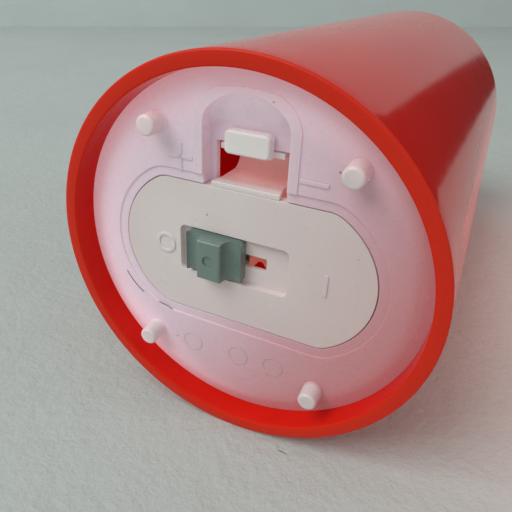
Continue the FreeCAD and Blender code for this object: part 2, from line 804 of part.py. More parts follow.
def make_flame_tip():
    """Hollow flame-shaped diffuser whose stem plugs into the collar."""
    bore = flame_bore_diameter / 2
    stem = flame_stem_diameter / 2
    bulge_z = flame_z + flame_height * 0.25
    shoulder = (flame_radius * 0.84, flame_z + flame_height * 0.46)
    waist = (flame_radius * 0.42, flame_z + flame_height * 0.76)
    tip = (flame_tip_radius, flame_z + flame_height - flame_tip_radius)
    crown = (flame_tip_radius * math.sin(math.pi / 4), tip[1] + flame_tip_radius * math.cos(math.pi / 4))
    foot = (stem + (flame_radius - stem) * 0.5, flame_z)
    top_z = flame_z + flame_height
    bore_top = collar_floor_z + flame_bore_height
    edges = [
        straight((bore, collar_floor_z), (stem, collar_floor_z)),
        straight((stem, collar_floor_z), (stem, flame_z)),
        straight((stem, flame_z), foot), arc(foot, (flame_radius, bulge_z), shoulder),
        arc(shoulder, waist, tip), arc(tip, crown, (0, top_z)), straight((0, top_z), (0, bore_top)),
        straight((0, bore_top), (bore, bore_top - bore)),
        straight((bore, bore_top - bore), (bore, collar_floor_z)),
    ]
    return Part.Face(Part.Wire(edges)).revolve(Vector(0, 0, 0), Vector(0, 0, 1), 360)


def make_led():
    radius = led_diameter / 2
    body = turned([(0, collar_floor_z), (led_flange_diameter / 2, collar_floor_z),
                   (led_flange_diameter / 2, collar_floor_z + led_flange_height),
                   (radius, collar_floor_z + led_flange_height), (radius, collar_floor_z + led_height),
                   (0, collar_floor_z + led_height)])
    return body.makeFillet(radius * 0.96, level_edges(body, collar_floor_z + led_height))


def make_led_leads():
    z_range = (collar_floor_z - led_lead_length, collar_floor_z)
    leads = [rod(lead_diameter / 2, z_range, side * led_lead_spacing / 2) for side in (-1, 1)]
    return Part.makeCompound(leads)


# --- fasteners ----------------------------------------------------------------------------
def make_holder_screws():
    size = (screw_diameter, screw_length, screw_head_diameter, screw_head_height)
    seat_z = holder_bottom_z + holder_arm_thickness
    return Part.makeCompound([screw(x, y, seat_z, size) for x, y in corners(post_spacing_x, post_spacing_y)])


def small_screws(spacing, seat_z):
    size = (small_screw_diameter, small_screw_length, small_head_diameter, small_head_height)
    return Part.makeCompound([screw(side * spacing, 0, seat_z, size) for side in (-1, 1)])


parts = {
    "candle_shell": make_candle_shell(),
    "base_insert": make_base_insert(),
    "battery_door": make_battery_door(),
    "latch_spring": make_latch_spring(),
    "latch_tab": make_latch_tab(),
    "switch_slider": make_switch_slider(),
    "bridge_contact": make_bridge_contact(),
    "contact_carrier": make_contact_carrier(),
    "carrier_screws": small_screws(carrier_screw_x, carrier_top_z),
    "door_contact_positive": make_door_contact_positive(),
    "door_contact_negative": make_door_contact_negative(),
    "door_spring": make_door_spring(),
    "battery_holder": make_battery_holder(),
    "holder_screws": make_holder_screws(),
    "battery_left": make_battery(-1),
    "battery_right": make_battery(1),
    "top_contact_negative": make_top_contact_negative(),
    "top_contact_positive": make_top_contact_positive(),
    "top_spring": make_top_spring(),
    "circuit_board": make_circuit_board(),
    "board_screws": small_screws(board_screw_spacing / 2, board_top_z),
    "controller_blob": make_controller_blob(),
    "resistor": make_resistor(),
    "black_wire": supply_wire(-1),
    "red_wire": supply_wire(1),
    "led_wires": make_led_wires(),
    "led": make_led(),
    "led_leads": make_led_leads(),
    "flame_collar": make_flame_collar(),
    "flame_tip": make_flame_tip(),
}

for name, shape in parts.items():
    shape.exportStep(f"parts/{name}.step")
    print(name, shape.isValid(), len(shape.Solids), round(shape.Volume, 2))
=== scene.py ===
"""Looks of a battery-lit pillar candle: a wax-look shell, a moulded base and what is behind it.

Everything is in metres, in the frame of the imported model: the candle stands on its lip at Z = 0,
+X runs along the battery door towards the ON end, and -Y points at the door's latch.
"""

import math

import bmesh
import bpy
from mathutils import Matrix, Vector


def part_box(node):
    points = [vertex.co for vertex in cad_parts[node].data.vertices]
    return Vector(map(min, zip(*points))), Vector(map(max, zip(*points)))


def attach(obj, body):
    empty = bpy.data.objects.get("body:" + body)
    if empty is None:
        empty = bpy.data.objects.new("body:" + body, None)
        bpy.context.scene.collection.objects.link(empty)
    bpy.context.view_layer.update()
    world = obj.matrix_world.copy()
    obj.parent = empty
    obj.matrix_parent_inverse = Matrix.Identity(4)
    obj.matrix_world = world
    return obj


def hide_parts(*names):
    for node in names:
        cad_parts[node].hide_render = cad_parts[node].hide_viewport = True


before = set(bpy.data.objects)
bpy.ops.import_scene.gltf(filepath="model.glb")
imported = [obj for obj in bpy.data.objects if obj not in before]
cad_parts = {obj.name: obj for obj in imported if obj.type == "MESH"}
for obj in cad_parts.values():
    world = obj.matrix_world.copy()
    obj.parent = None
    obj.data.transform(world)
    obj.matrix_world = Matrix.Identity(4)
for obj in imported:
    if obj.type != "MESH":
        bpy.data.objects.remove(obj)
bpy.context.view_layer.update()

MM = 0.001

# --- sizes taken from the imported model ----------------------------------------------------
shell_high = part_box("candle_shell")[1]
base_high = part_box("base_insert")[1]
door_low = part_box("battery_door")[0]
tip_low, tip_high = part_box("flame_tip")

shell_radius = shell_high[0]
shell_top = shell_high[2]
bore_radius = base_high[0]

# --- sizes of the details -----------------------------------------------------------------
lathe_steps = 256
shell_top_round = 2.5 * MM
shell_lip_round = 0.45 * MM
dish_depth = 9.0 * MM
dish_rim_width = 6.0 * MM
dish_floor_radius = 21.0 * MM
dish_floor_thickness = 2.6 * MM
dish_flare = 3.0 * MM
dish_flare_inset = 0.6 * MM
insert_shoulder = 0.5 * MM
insert_shoulder_z = base_high[2]
neck_radius = 7.0 * MM

base_face_z = 4.3 * MM
door_face_z = door_low[2]
mark_height = 0.20 * MM
mark_width = 0.75 * MM
mark_rounding = 0.08 * MM
mark_steps = 64
polarity_arm = 5.0 * MM
polarity_place = (12.5 * MM, -18.3 * MM)
switch_mark_x = 16.5 * MM
switch_mark_size = 4.4 * MM
ejector_places = ((-10.6 * MM, 22.3 * MM), (0.1 * MM, 22.0 * MM), (7.9 * MM, 21.8 * MM))
ejector_radius = 2.3 * MM
ejector_height = 0.07 * MM
ejector_width = 0.35 * MM
ejector_rounding = 0.05 * MM

# Thin dark arcs on the base beside the door.
dark_arc_radius = 0.07 * MM
dark_arc_sink = 0.03 * MM
dark_arc_paths = {"long_dark_arc": ((-26.6, 9.4), (-24.9, 11.7), (-22.6, 13.6)),
               "short_dark_arc": ((-18.8, 14.9), (-17.3, 15.1), (-15.6, 15.7))}

spring_wire = 0.6 * MM
spring_top_radius = 2.8 * MM
spring_turns = 3.5


# --- mesh helpers -------------------------------------------------------------------------
def new_object(name, mesh):
    obj = bpy.data.objects.new(name, mesh)
    bpy.context.scene.collection.objects.link(obj)
    return obj


def finish_piece(obj, body, material, replaced=()):
    obj.data.materials.clear()
    obj.data.materials.append(material)
    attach(obj, body)
    if replaced:
        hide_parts(*replaced)
    return obj


def shade(mesh, sharp_angle=35):
    mesh.polygons.foreach_set("use_smooth", [True] * len(mesh.polygons))
    mesh.set_sharp_from_angle(angle=math.radians(sharp_angle))


def applied(obj):
    """Turns an object's live modifiers into its plain mesh."""
    depsgraph = bpy.context.evaluated_depsgraph_get()
    mesh = bpy.data.meshes.new_from_object(obj.evaluated_get(depsgraph))
    obj.modifiers.clear()
    old = obj.data
    obj.data = mesh
    bpy.data.meshes.remove(old)
    return obj


def arc_points(centre, radius, start, end, steps):
    """Points of an arc in the (radius, z) half-plane, angles in degrees."""
    points = []
    for step in range(steps + 1):
        angle = math.radians(start + (end - start) * step / steps)
        points.append((centre[0] + radius * math.cos(angle), centre[1] + radius * math.sin(angle)))
    return points


def spin(made, profile, closed, centre=(0.0, 0.0), steps=lathe_steps):
    """Adds a surface of revolution to a mesh in the making. A closed profile makes a ring."""
    turns = [2 * math.pi * step / steps for step in range(steps)]
    rings = []
    for radius, z in profile:
        if radius < 1e-7:
            rings.append([made.verts.new((*centre, z))])
            continue
        rings.append([made.verts.new((centre[0] + radius * math.cos(turn),
                                      centre[1] + radius * math.sin(turn), z)) for turn in turns])
    for low, high in zip(rings, rings[1:] + rings[:1] if closed else rings[1:]):
        for step in range(steps):
            following = (step + 1) % steps
            corners = [low[step % len(low)], low[following % len(low)],
                       high[following % len(high)], high[step % len(high)]]
            made.faces.new(list(dict.fromkeys(corners)))


def add_bar(made, centre, size, z_range):
    """Adds a flat bar, given by its centre and its length along X and Y."""
    half_x, half_y = size[0] / 2, size[1] / 2
    outline = [(-half_x, -half_y), (half_x, -half_y), (half_x, half_y), (-half_x, half_y)]
    rows = [[made.verts.new((centre[0] + x, centre[1] + y, z)) for x, y in outline] for z in z_range]
    made.faces.new(rows[0])
    made.faces.new(rows[1])
    for step in range(4):
        following = (step + 1) % 4
        made.faces.new([rows[0][step], rows[0][following], rows[1][following], rows[1][step]])


def object_from(made, name, sharp_angle=35):
    bmesh.ops.recalc_face_normals(made, faces=made.faces)
    mesh = bpy.data.meshes.new(name)
    made.to_mesh(mesh)
    made.free()
    shade(mesh, sharp_angle)
    return new_object(name, mesh)


def rounded(obj, width, segments=2, angle=32):
    """Rounds the object's sharp edges and evens the shading of its flat faces."""
    obj.data.polygons.foreach_set("use_smooth", [True] * len(obj.data.polygons))
    bevel = obj.modifiers.new("rounding", "BEVEL")
    bevel.width = width
    bevel.segments = segments
    bevel.limit_method = "ANGLE"
    bevel.angle_limit = math.radians(angle)
    bevel.use_clamp_overlap = True
    even = obj.modifiers.new("even shading", "WEIGHTED_NORMAL")
    even.weight = 100
    even.keep_sharp = False
    return applied(obj)


def softened(node, width):
    """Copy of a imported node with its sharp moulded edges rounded."""
    made = bmesh.new()
    made.from_mesh(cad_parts[node].data)
    bmesh.ops.remove_doubles(made, verts=made.verts, dist=1e-6)
    bmesh.ops.dissolve_limit(made, angle_limit=math.radians(0.6), verts=made.verts, edges=made.edges)
    return rounded(object_from(made, node + "_moulded", 180), width)


# --- shader helpers -----------------------------------------------------------------------
def link(tree, source, target):
    tree.links.new(source, target)


def add(tree, kind, **settings):
    node = tree.nodes.new(kind)
    for key, value in settings.items():
        setattr(node, key, value)
    return node


def math_node(tree, operation, first, second=None, clamp=False):
    node = add(tree, "ShaderNodeMath", operation=operation, use_clamp=clamp)
    for socket, value in zip(node.inputs, (first, second)):
        if value is None:
            continue
        if isinstance(value, (int, float)):
            socket.default_value = value
        else:
            link(tree, value, socket)
    return node.outputs[0]


def mapped(tree, value, low, high, to_low=0.0, to_high=1.0):
    node = add(tree, "ShaderNodeMapRange", clamp=True)
    link(tree, value, node.inputs["Value"])
    for key, number in (("From Min", low), ("From Max", high), ("To Min", to_low), ("To Max", to_high)):
        node.inputs[key].default_value = number
    return node.outputs["Result"]


def mixed(tree, factor, first, second, blend="MIX"):
    node = add(tree, "ShaderNodeMix", data_type="RGBA", blend_type=blend)
    link(tree, factor, node.inputs["Factor"])
    for socket, value in ((node.inputs["A"], first), (node.inputs["B"], second)):
        if isinstance(value, tuple):
            socket.default_value = (*value, 1.0)
        else:
            link(tree, value, socket)
    return node.outputs["Result"]


def new_group(name, inputs, outputs):
    tree = bpy.data.node_groups.new(name, "ShaderNodeTree")
    for label, kind, value in inputs:
        socket = tree.interface.new_socket(label, in_out="INPUT", socket_type=kind)
        if value is not None:
            socket.default_value = value
    for label, kind in outputs:
        tree.interface.new_socket(label, in_out="OUTPUT", socket_type=kind)
    return tree, tree.nodes.new("NodeGroupInput"), tree.nodes.new("NodeGroupOutput")


def use_group(tree, group, **values):
    node = add(tree, "ShaderNodeGroup", node_tree=group)
    for key, value in values.items():
        socket = node.inputs[key.replace("_", " ")]
        if isinstance(value, bpy.types.NodeSocket):
            link(tree, value, socket)
        else:
            socket.default_value = value
    return node


def noise(tree, position, scale, detail=3.0, roughness=0.5):
    node = add(tree, "ShaderNodeTexNoise")
    node.inputs["Detail"].default_value = detail
    node.inputs["Roughness"].default_value = roughness
    link(tree, position, node.inputs["Vector"])
    if isinstance(scale, (int, float)):
        node.inputs["Scale"].default_value = scale
    else:
        link(tree, scale, node.inputs["Scale"])
    return node.outputs["Fac"]


# --- shared effects -----------------------------------------------------------------------
def moulded_skin_group():
    """Fine mould grain with slow waviness: a height and a roughness that change over the skin."""
    tree, inside, out = new_group(
        "moulded skin",
        [("Position", "NodeSocketVector", None), ("Grain Scale", "NodeSocketFloat", 2500.0),
         ("Grain Depth", "NodeSocketFloat", 0.3), ("Wave Depth", "NodeSocketFloat", 1.0),
         ("Roughness Low", "NodeSocketFloat", 0.3), ("Roughness High", "NodeSocketFloat", 0.5)],
        [("Height", "NodeSocketFloat"), ("Roughness", "NodeSocketFloat")])
    grain = noise(tree, inside.outputs["Position"], inside.outputs["Grain Scale"], 2.0)
    wave = noise(tree, inside.outputs["Position"], 90.0, 1.0)
    patch = noise(tree, inside.outputs["Position"], 260.0, 4.0, 0.6)
    fine = math_node(tree, "MULTIPLY", grain, inside.outputs["Grain Depth"])
    slow = math_node(tree, "MULTIPLY", wave, inside.outputs["Wave Depth"])
    link(tree, math_node(tree, "ADD", fine, slow), out.inputs["Height"])
    spread = add(tree, "ShaderNodeMapRange")
    link(tree, patch, spread.inputs["Value"])
    spread.inputs["From Min"].default_value = 0.3
    spread.inputs["From Max"].default_value = 0.7
    link(tree, inside.outputs["Roughness Low"], spread.inputs["To Min"])
    link(tree, inside.outputs["Roughness High"], spread.inputs["To Max"])
    link(tree, spread.outputs["Result"], out.inputs["Roughness"])
    return tree


def hairline_group():
    """Mask of fine hairline scratches that run along one direction of the given position."""
    tree, inside, out = new_group(
        "hairline scratches",
        [("Position", "NodeSocketVector", None), ("Stretch", "NodeSocketVector", (1.0, 1.0, 1.0)),
         ("Density", "NodeSocketFloat", 0.5)],
        [("Mask", "NodeSocketFloat")])
    scaled = add(tree, "ShaderNodeVectorMath", operation="MULTIPLY")
    link(tree, inside.outputs["Position"], scaled.inputs[0])
    link(tree, inside.outputs["Stretch"], scaled.inputs[1])
    lines = noise(tree, scaled.outputs[0], 1.0, 2.0)
    gaps = noise(tree, inside.outputs["Position"], 120.0, 2.0)
    ridge = math_node(tree, "ABSOLUTE", math_node(tree, "SUBTRACT", lines, 0.5))
    thin = mapped(tree, ridge, 0.0, 0.006, 1.0, 0.0)
    reach = math_node(tree, "SUBTRACT", gaps, math_node(tree, "SUBTRACT", 1.0, inside.outputs["Density"]))
    broken = mapped(tree, reach, 0.0, 0.08)
    link(tree, math_node(tree, "MULTIPLY", thin, broken), out.inputs["Mask"])
    return tree


def speck_group():
    """Mask of sparse small dirt specks."""
    tree, inside, out = new_group(
        "dirt specks",
        [("Position", "NodeSocketVector", None), ("Spacing Scale", "NodeSocketFloat", 180.0),
         ("Size", "NodeSocketFloat", 0.05)],
        [("Mask", "NodeSocketFloat")])
    cells = add(tree, "ShaderNodeTexVoronoi", feature="F1")
    link(tree, inside.outputs["Position"], cells.inputs["Vector"])
    link(tree, inside.outputs["Spacing Scale"], cells.inputs["Scale"])
    cells.inputs["Randomness"].default_value = 1.0
    chosen = add(tree, "ShaderNodeSeparateColor")
    link(tree, cells.outputs["Color"], chosen.inputs["Color"])
    picked = mapped(tree, chosen.outputs["Red"], 0.86, 0.88)
    near = math_node(tree, "LESS_THAN", cells.outputs["Distance"], inside.outputs["Size"])
    link(tree, math_node(tree, "MULTIPLY", near, picked), out.inputs["Mask"])
    return tree


def painted_soak_light_shade_group():
    """Mask where light and shade are painted: red light soaking through the shell into the base, stronger at
    the rim and towards +X +Y, where the base is also painted darker as shade.
    """
    tree, inside, out = new_group(
        "painted soak light and shade",
        [("Position", "NodeSocketVector", None), ("Rim Start", "NodeSocketFloat", 27.0 * MM),
         ("Rim Amount", "NodeSocketFloat", 0.6), ("Side Amount", "NodeSocketFloat", 0.8)],
        [("Mask", "NodeSocketFloat")])
    split = add(tree, "ShaderNodeSeparateXYZ")
    link(tree, inside.outputs["Position"], split.inputs[0])
    flat = add(tree, "ShaderNodeCombineXYZ")
    link(tree, split.outputs["X"], flat.inputs["X"])
    link(tree, split.outputs["Y"], flat.inputs["Y"])
    distance = add(tree, "ShaderNodeVectorMath", operation="LENGTH")
    link(tree, flat.outputs[0], distance.inputs[0])
    rim = add(tree, "ShaderNodeMapRange", interpolation_type="SMOOTHSTEP")
    link(tree, distance.outputs["Value"], rim.inputs["Value"])
    link(tree, inside.outputs["Rim Start"], rim.inputs["From Min"])
    rim.inputs["From Max"].default_value = bore_radius
    link(tree, inside.outputs["Rim Amount"], rim.inputs["To Max"])
    towards = add(tree, "ShaderNodeVectorMath", operation="DOT_PRODUCT")
    link(tree, flat.outputs[0], towards.inputs[0])
    towards.inputs[1].default_value = (0.86, 0.50, 0.0)
    side = add(tree, "ShaderNodeMapRange", interpolation_type="SMOOTHSTEP")
    link(tree, towards.outputs["Value"], side.inputs["Value"])
    side.inputs["From Min"].default_value = -16.0 * MM
    side.inputs["From Max"].default_value = 34.0 * MM
    link(tree, inside.outputs["Side Amount"], side.inputs["To Max"])
    total = math_node(tree, "ADD", rim.outputs["Result"], side.outputs["Result"], clamp=True)
    link(tree, total, out.inputs["Mask"])
    return tree


moulded_skin = moulded_skin_group()
hairlines = hairline_group()
specks = speck_group()
painted_soak_light_shade = painted_soak_light_shade_group()


class Finish:
    """A material with its Principled BSDF and the object's own coordinates at hand."""

    def __init__(self, name, **constants):
        self.material = bpy.data.materials.new(name)
        self.material.use_nodes = True
        self.tree = self.material.node_tree
        self.surface = self.tree.nodes["Principled BSDF"]
        self.position = add(self.tree, "ShaderNodeTexCoord").outputs["Object"]
        for key, value in constants.items():
            self.surface.inputs[key.replace("_", " ")].default_value = value

    def set(self, socket, output):
        link(self.tree, output, self.surface.inputs[socket])

    def bump(self, height, distance, strength=1.0):
        node = add(self.tree, "ShaderNodeBump")
        node.inputs["Distance"].default_value = distance
        node.inputs["Strength"].default_value = strength
        link(self.tree, height, node.inputs["Height"])
        self.set("Normal", node.outputs["Normal"])

    def glow(self, colour, amount, least, most):
        """Gives off light of one colour, least at amount 0 and most at amount 1."""
        self.surface.inputs["Emission Strength"].default_value = most
        dim = tuple(part * least / most for part in colour)
        self.set("Emission Color", mixed(self.tree, amount, dim, colour))

    def height_axis(self):
        split = add(self.tree, "ShaderNodeSeparateXYZ")
        link(self.tree, self.position, split.inputs[0])
        return split.outputs["Z"]

    def axis_distance(self):
        """Distance from the candle's axis."""
        flat = add(self.tree, "ShaderNodeVectorMath", operation="MULTIPLY")
        link(self.tree, self.position, flat.inputs[0])
        flat.inputs[1].default_value = (1.0, 1.0, 0.0)
        length = add(self.tree, "ShaderNodeVectorMath", operation="LENGTH")
        link(self.tree, flat.outputs[0], length.inputs[0])
        return length.outputs["Value"]


def moulded_plastic(name, colour, tint, low, high, grain=2500.0, depth=0.3, dirt=0.0, soak=None,
                    pale=None, **constants):
    """Injection-moulded plastic: slightly uneven colour, mould grain, sparse specks, and a painted pink of
    red light soaking in, which also paints shade where it darkens.
    """
    finish = Finish(name, **constants)
    tree = finish.tree
    skin = use_group(tree, moulded_skin, Position=finish.position, Grain_Scale=grain, Grain_Depth=depth,
                     Wave_Depth=1.2, Roughness_Low=low, Roughness_High=high)
    cloud = mapped(tree, noise(tree, finish.position, 55.0, 3.0), 0.35, 0.65)
    body = mixed(tree, cloud, colour, tint)
    if soak:
        # The soak mixes in a painted pink: red light soaking through the shell, darker where it also paints
        # shade.
        pink, rim_start, rim_amount, side_amount = soak
        soaked = use_group(tree, painted_soak_light_shade, Position=finish.position, Rim_Start=rim_start,
                           Rim_Amount=rim_amount, Side_Amount=side_amount)
        body = mixed(tree, soaked.outputs["Mask"], body, pink)
    if pale:
        foot_colour, foot_z = pale
        foot = mapped(tree, finish.height_axis(), foot_z - 1.0 * MM, foot_z, 1.0, 0.0)
        body = mixed(tree, foot, body, foot_colour)
    if dirt:
        speck = use_group(tree, specks, Position=finish.position, Spacing_Scale=420.0, Size=0.085)
        dirty = math_node(tree, "MULTIPLY", speck.outputs["Mask"], dirt)
        body = mixed(tree, dirty, body, (0.09, 0.07, 0.06))
    finish.set("Base Color", body)
    finish.set("Roughness", skin.outputs["Roughness"])
    finish.bump(skin.outputs["Height"], 0.06 * MM)
    return finish


# --- finishes -----------------------------------------------------------------------------
def wax_red():
    """Deep red wax-look shell: a faint red emission all over is a painted glow of light soaking through it,
    and a more orange colour at the cut lip is a painted glow there.
    """
    finish = Finish("wax red", Subsurface_Weight=0.45, Subsurface_Scale=2.4 * MM, IOR=1.46,
                    Subsurface_Radius=(1.0, 0.06, 0.03), Emission_Color=(1.0, 0.012, 0.006, 1.0),
                    Emission_Strength=0.05)
    tree = finish.tree
    cloud = mapped(tree, noise(tree, finish.position, 40.0, 4.0, 0.6), 0.3, 0.7)
    body = mixed(tree, cloud, (0.60, 0.0085, 0.0040), (0.68, 0.0125, 0.0060))
    # Painted glow: the lip is mixed to a more orange red, as of light scattering out of the cut edge.
    lip = mapped(tree, finish.height_axis(), 0.15 * MM, 0.9 * MM, 1.0, 0.0)
    body = mixed(tree, lip, body, (0.60, 0.0220, 0.0050))
    finish.set("Base Color", body)
    inside_wall = mapped(tree, finish.axis_distance(), bore_radius + 0.2 * MM, bore_radius + 0.5 * MM,
                         1.0, 0.0)
    dull = math_node(tree, "MAXIMUM", inside_wall, math_node(tree, "MULTIPLY", lip, 0.6))
    finish.set("Specular IOR Level", mapped(tree, dull, 0.0, 1.0, 0.5, 0.08))
    along = use_group(tree, hairlines, Position=finish.position, Stretch=(240.0, 240.0, 9.0), Density=0.36)
    across = use_group(tree, hairlines, Position=finish.position, Stretch=(28.0, 28.0, 330.0), Density=0.40)
    scratched = math_node(tree, "MAXIMUM", along.outputs["Mask"], across.outputs["Mask"])
    skin = use_group(tree, moulded_skin, Position=finish.position, Grain_Scale=900.0, Grain_Depth=0.05,
                     Wave_Depth=1.2, Roughness_Low=0.08, Roughness_High=0.15)
    rough = math_node(tree, "ADD", skin.outputs["Roughness"], math_node(tree, "MULTIPLY", scratched, 0.15))
    rough = math_node(tree, "ADD", rough, math_node(tree, "MULTIPLY", lip, 0.30), clamp=True)
    finish.set("Roughness", rough)
    height = math_node(tree, "SUBTRACT", skin.outputs["Height"], math_node(tree, "MULTIPLY", scratched, 0.05))
    finish.bump(height, 0.03 * MM)
    return finish.material


def milky_base():
    """Milky base: a painted pink where red light soaks in, painted darker as shade towards +X +Y, and a
    painted glow, brighter near the rim that the window lights through.
    """
    # Painted pink of red light soaking in, and painted shade where it darkens towards +X +Y.
    soak = ((0.55, 0.195, 0.20), 30.0 * MM, 0.30, 0.95)
    pale = ((0.64, 0.57, 0.56), base_face_z)
    finish = moulded_plastic("milky base", (0.84, 0.70, 0.80), (0.80, 0.66, 0.755), 0.22, 0.34, dirt=0.7,
                             soak=soak, pale=pale, Subsurface_Weight=0.4, Subsurface_Scale=2.0 * MM,
                             Subsurface_Radius=(1.0, 0.6, 0.6))
    # Painted glow: emission that rises near the rim and fades towards +X +Y, standing in for window light
    # coming through the shell.
    lit = use_group(finish.tree, painted_soak_light_shade, Position=finish.position, Rim_Start=23.0 * MM, Rim_Amount=1.0,
                    Side_Amount=-0.9)
    finish.glow((1.0, 0.66, 0.74), lit.outputs["Mask"], 0.05, 0.26)
    return finish.material


def door_cream():
    # Painted light and shade: a darker pink towards +X +Y for red light soaking in, and a faint pink emission
    # as a painted glow.
    soak = ((0.60, 0.42, 0.405), 40.0 * MM, 0.0, 0.60)
    finish = moulded_plastic("door cream", (0.775, 0.70, 0.69), (0.735, 0.66, 0.65), 0.26, 0.38, dirt=0.6,
                             soak=soak, Subsurface_Weight=0.3, Subsurface_Scale=1.5 * MM,
                             Subsurface_Radius=(1.0, 0.7, 0.6), Emission_Color=(1.0, 0.62, 0.58, 1.0),
                             Emission_Strength=0.03)
    return finish.material


def latch_white():
    # Its faint pink emission is a painted glow of light coming through the plastic.
    finish = moulded_plastic("latch white", (0.84, 0.81, 0.80), (0.80, 0.77, 0.76), 0.20, 0.30,
                             Subsurface_Weight=0.3, Subsurface_Scale=1.5 * MM,
                             Subsurface_Radius=(1.0, 0.7, 0.6), Emission_Color=(1.0, 0.60, 0.56, 1.0),
                             Emission_Strength=0.04)
    return finish.material


def latch_pink():
    """The latch's inner leg: like the door at its foot, and deeper in a painted pink and a painted glow,
    where red light reaches.
    """
    pale = ((0.75, 0.69, 0.68), door_face_z + 2.6 * MM)
    finish = moulded_plastic("latch pink", (0.70, 0.51, 0.49), (0.66, 0.47, 0.45), 0.24, 0.34, pale=pale,
                             Subsurface_Weight=0.3, Subsurface_Scale=1.5 * MM,
                             Subsurface_Radius=(1.0, 0.6, 0.5))
    deep = mapped(finish.tree, finish.height_axis(), door_face_z + 1.6 * MM, door_face_z + 4.5 * MM)
    finish.glow((1.0, 0.34, 0.30), deep, 0.03, 0.17)
    return finish.material


def switch_grey():
    finish = moulded_plastic("switch grey", (0.185, 0.250, 0.224), (0.165, 0.225, 0.202), 0.22, 0.32,
                             grain=3500.0, depth=0.5)
    return finish.material


def carrier_white():
    # Its red emission is a painted glow of the red light inside the shell.
    finish = moulded_plastic("carrier white", (0.80, 0.76, 0.73), (0.74, 0.70, 0.67), 0.34, 0.48,
                             Emission_Color=(1.0, 0.24, 0.17, 1.0), Emission_Strength=0.18)
    return finish.material


def epoxy_black():
    return moulded_plastic("epoxy black", (0.012, 0.012, 0.013), (0.02, 0.02, 0.022), 0.12, 0.22,
                           depth=0.1).material


def resistor_tan():
    """Tan lacquer with plain value bands."""
    finish = Finish("resistor tan", Roughness=0.3, Coat_Weight=0.3)
    tree = finish.tree
    split = add(tree, "ShaderNodeSeparateXYZ")
    link(tree, finish.position, split.inputs[0])
    wave = math_node(tree, "FRACT", math_node(tree, "MULTIPLY", split.outputs["X"], 1 / (1.3 * MM)))
    offset = math_node(tree, "ABSOLUTE", math_node(tree, "SUBTRACT", wave, 0.5))
    band = mapped(tree, offset, 0.16, 0.2, 1.0, 0.0)
    finish.set("Base Color", mixed(tree, band, (0.62, 0.47, 0.29), (0.22, 0.06, 0.03)))
    return finish.material


def metal(name, colour, low, high, stretch):
    """Plated metal with faint drawing lines."""
    finish = Finish(name, Metallic=1.0)
    tree = finish.tree
    lines = use_group(tree, hairlines, Position=finish.position, Stretch=stretch, Density=0.55)
    tone = mapped(tree, noise(tree, finish.position, 300.0, 4.0), 0.35, 0.65)
    dull = tuple(0.82 * part for part in colour)
    finish.set("Base Color", mixed(tree, tone, colour, dull))
    rough = mapped(tree, noise(tree, finish.position, 500.0, 3.0), 0.3, 0.7, low, high)
    rubbed = math_node(tree, "MULTIPLY", lines.outputs["Mask"], 0.12)
    finish.set("Roughness", math_node(tree, "ADD", rough, rubbed))
    finish.bump(lines.outputs["Mask"], -0.02 * MM, 0.6)
    return finish.material


def cell_wrap(cell_name, nub_down):
    """Plain two-tone cell wrap with bare steel ends."""
    low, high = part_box(cell_name)
    finish = Finish("wrap " + cell_name.replace("_", " "), Coat_Weight=0.6, Coat_Roughness=0.1)
    tree = finish.tree
    height = finish.height_axis()
    length = high[2] - low[2]
    band_edge = low[2] + length * (0.30 if nub_down else 0.70)
    above = math_node(tree, "GREATER_THAN", height, band_edge)
    copper, green = (0.55, 0.27, 0.10), (0.02, 0.05, 0.04)
    wrap = mixed(tree, above, copper if nub_down else green, green if nub_down else copper)
    bare_low = math_node(tree, "LESS_THAN", height, low[2] + 1.4 * MM)
    bare_high = math_node(tree, "GREATER_THAN", height, high[2] - 1.4 * MM)
    bare = math_node(tree, "MAXIMUM", bare_low, bare_high)
    finish.set("Base Color", mixed(tree, bare, wrap, (0.62, 0.62, 0.60)))
    finish.set("Metallic", math_node(tree, "MAXIMUM", bare, 0.55))
    finish.set("Roughness", mapped(tree, noise(tree, finish.position, 400.0, 3.0), 0.3, 0.7, 0.2, 0.34))
    return finish.material


def board_green():
    """Solder mask over copper tracks."""
    finish = Finish("board green", Coat_Weight=0.4, Coat_Roughness=0.2)
    tree = finish.tree
    cells = add(tree, "ShaderNodeTexVoronoi", feature="DISTANCE_TO_EDGE")
    link(tree, finish.position, cells.inputs["Vector"])
    cells.inputs["Scale"].default_value = 380.0
    track = mapped(tree, cells.outputs["Distance"], 0.05, 0.09)
    finish.set("Base Color", mixed(tree, track, (0.03, 0.20, 0.06), (0.015, 0.11, 0.035)))
    finish.set("Roughness", mapped(tree, noise(tree, finish.position, 900.0, 2.0), 0.3, 0.7, 0.28, 0.42))
    finish.bump(track, -0.03 * MM)
    return finish.material


def vinyl(name, colour):
    tint = tuple(min(1.0, 1.25 * part + 0.004) for part in colour)
    return moulded_plastic(name, colour, tint, 0.32, 0.44, grain=4000.0).material


def led_lens():
    finish = Finish("led lens", Transmission_Weight=0.8, IOR=1.54, Coat_Weight=0.2)
    tree = finish.tree
    tone = mapped(tree, noise(tree, finish.position, 700.0, 2.0), 0.3, 0.7)
    finish.set("Base Color", mixed(tree, tone, (0.98, 0.90, 0.66), (0.98, 0.86, 0.58)))
    finish.set("Roughness", mapped(tree, tone, 0.0, 1.0, 0.04, 0.12))
    return finish.material


def flame_amber():
    """Frosted diffuser, warmer and deeper towards its foot."""
    finish = Finish("flame amber", Subsurface_Weight=0.9, Subsurface_Scale=4.0 * MM,
                    Subsurface_Radius=(1.0, 0.6, 0.25), Coat_Weight=0.2, Coat_Roughness=0.3)
    tree = finish.tree
    rise = mapped(tree, finish.height_axis(), tip_low[2], tip_high[2])
    finish.set("Base Color", mixed(tree, rise, (0.92, 0.52, 0.16), (0.97, 0.88, 0.70)))
    skin = use_group(tree, moulded_skin, Position=finish.position, Grain_Scale=2200.0, Grain_Depth=0.8,
                     Wave_Depth=0.8, Roughness_Low=0.38, Roughness_High=0.5)
    finish.set("Roughness", skin.outputs["Roughness"])
    finish.bump(skin.outputs["Height"], 0.06 * MM)
    return finish.material


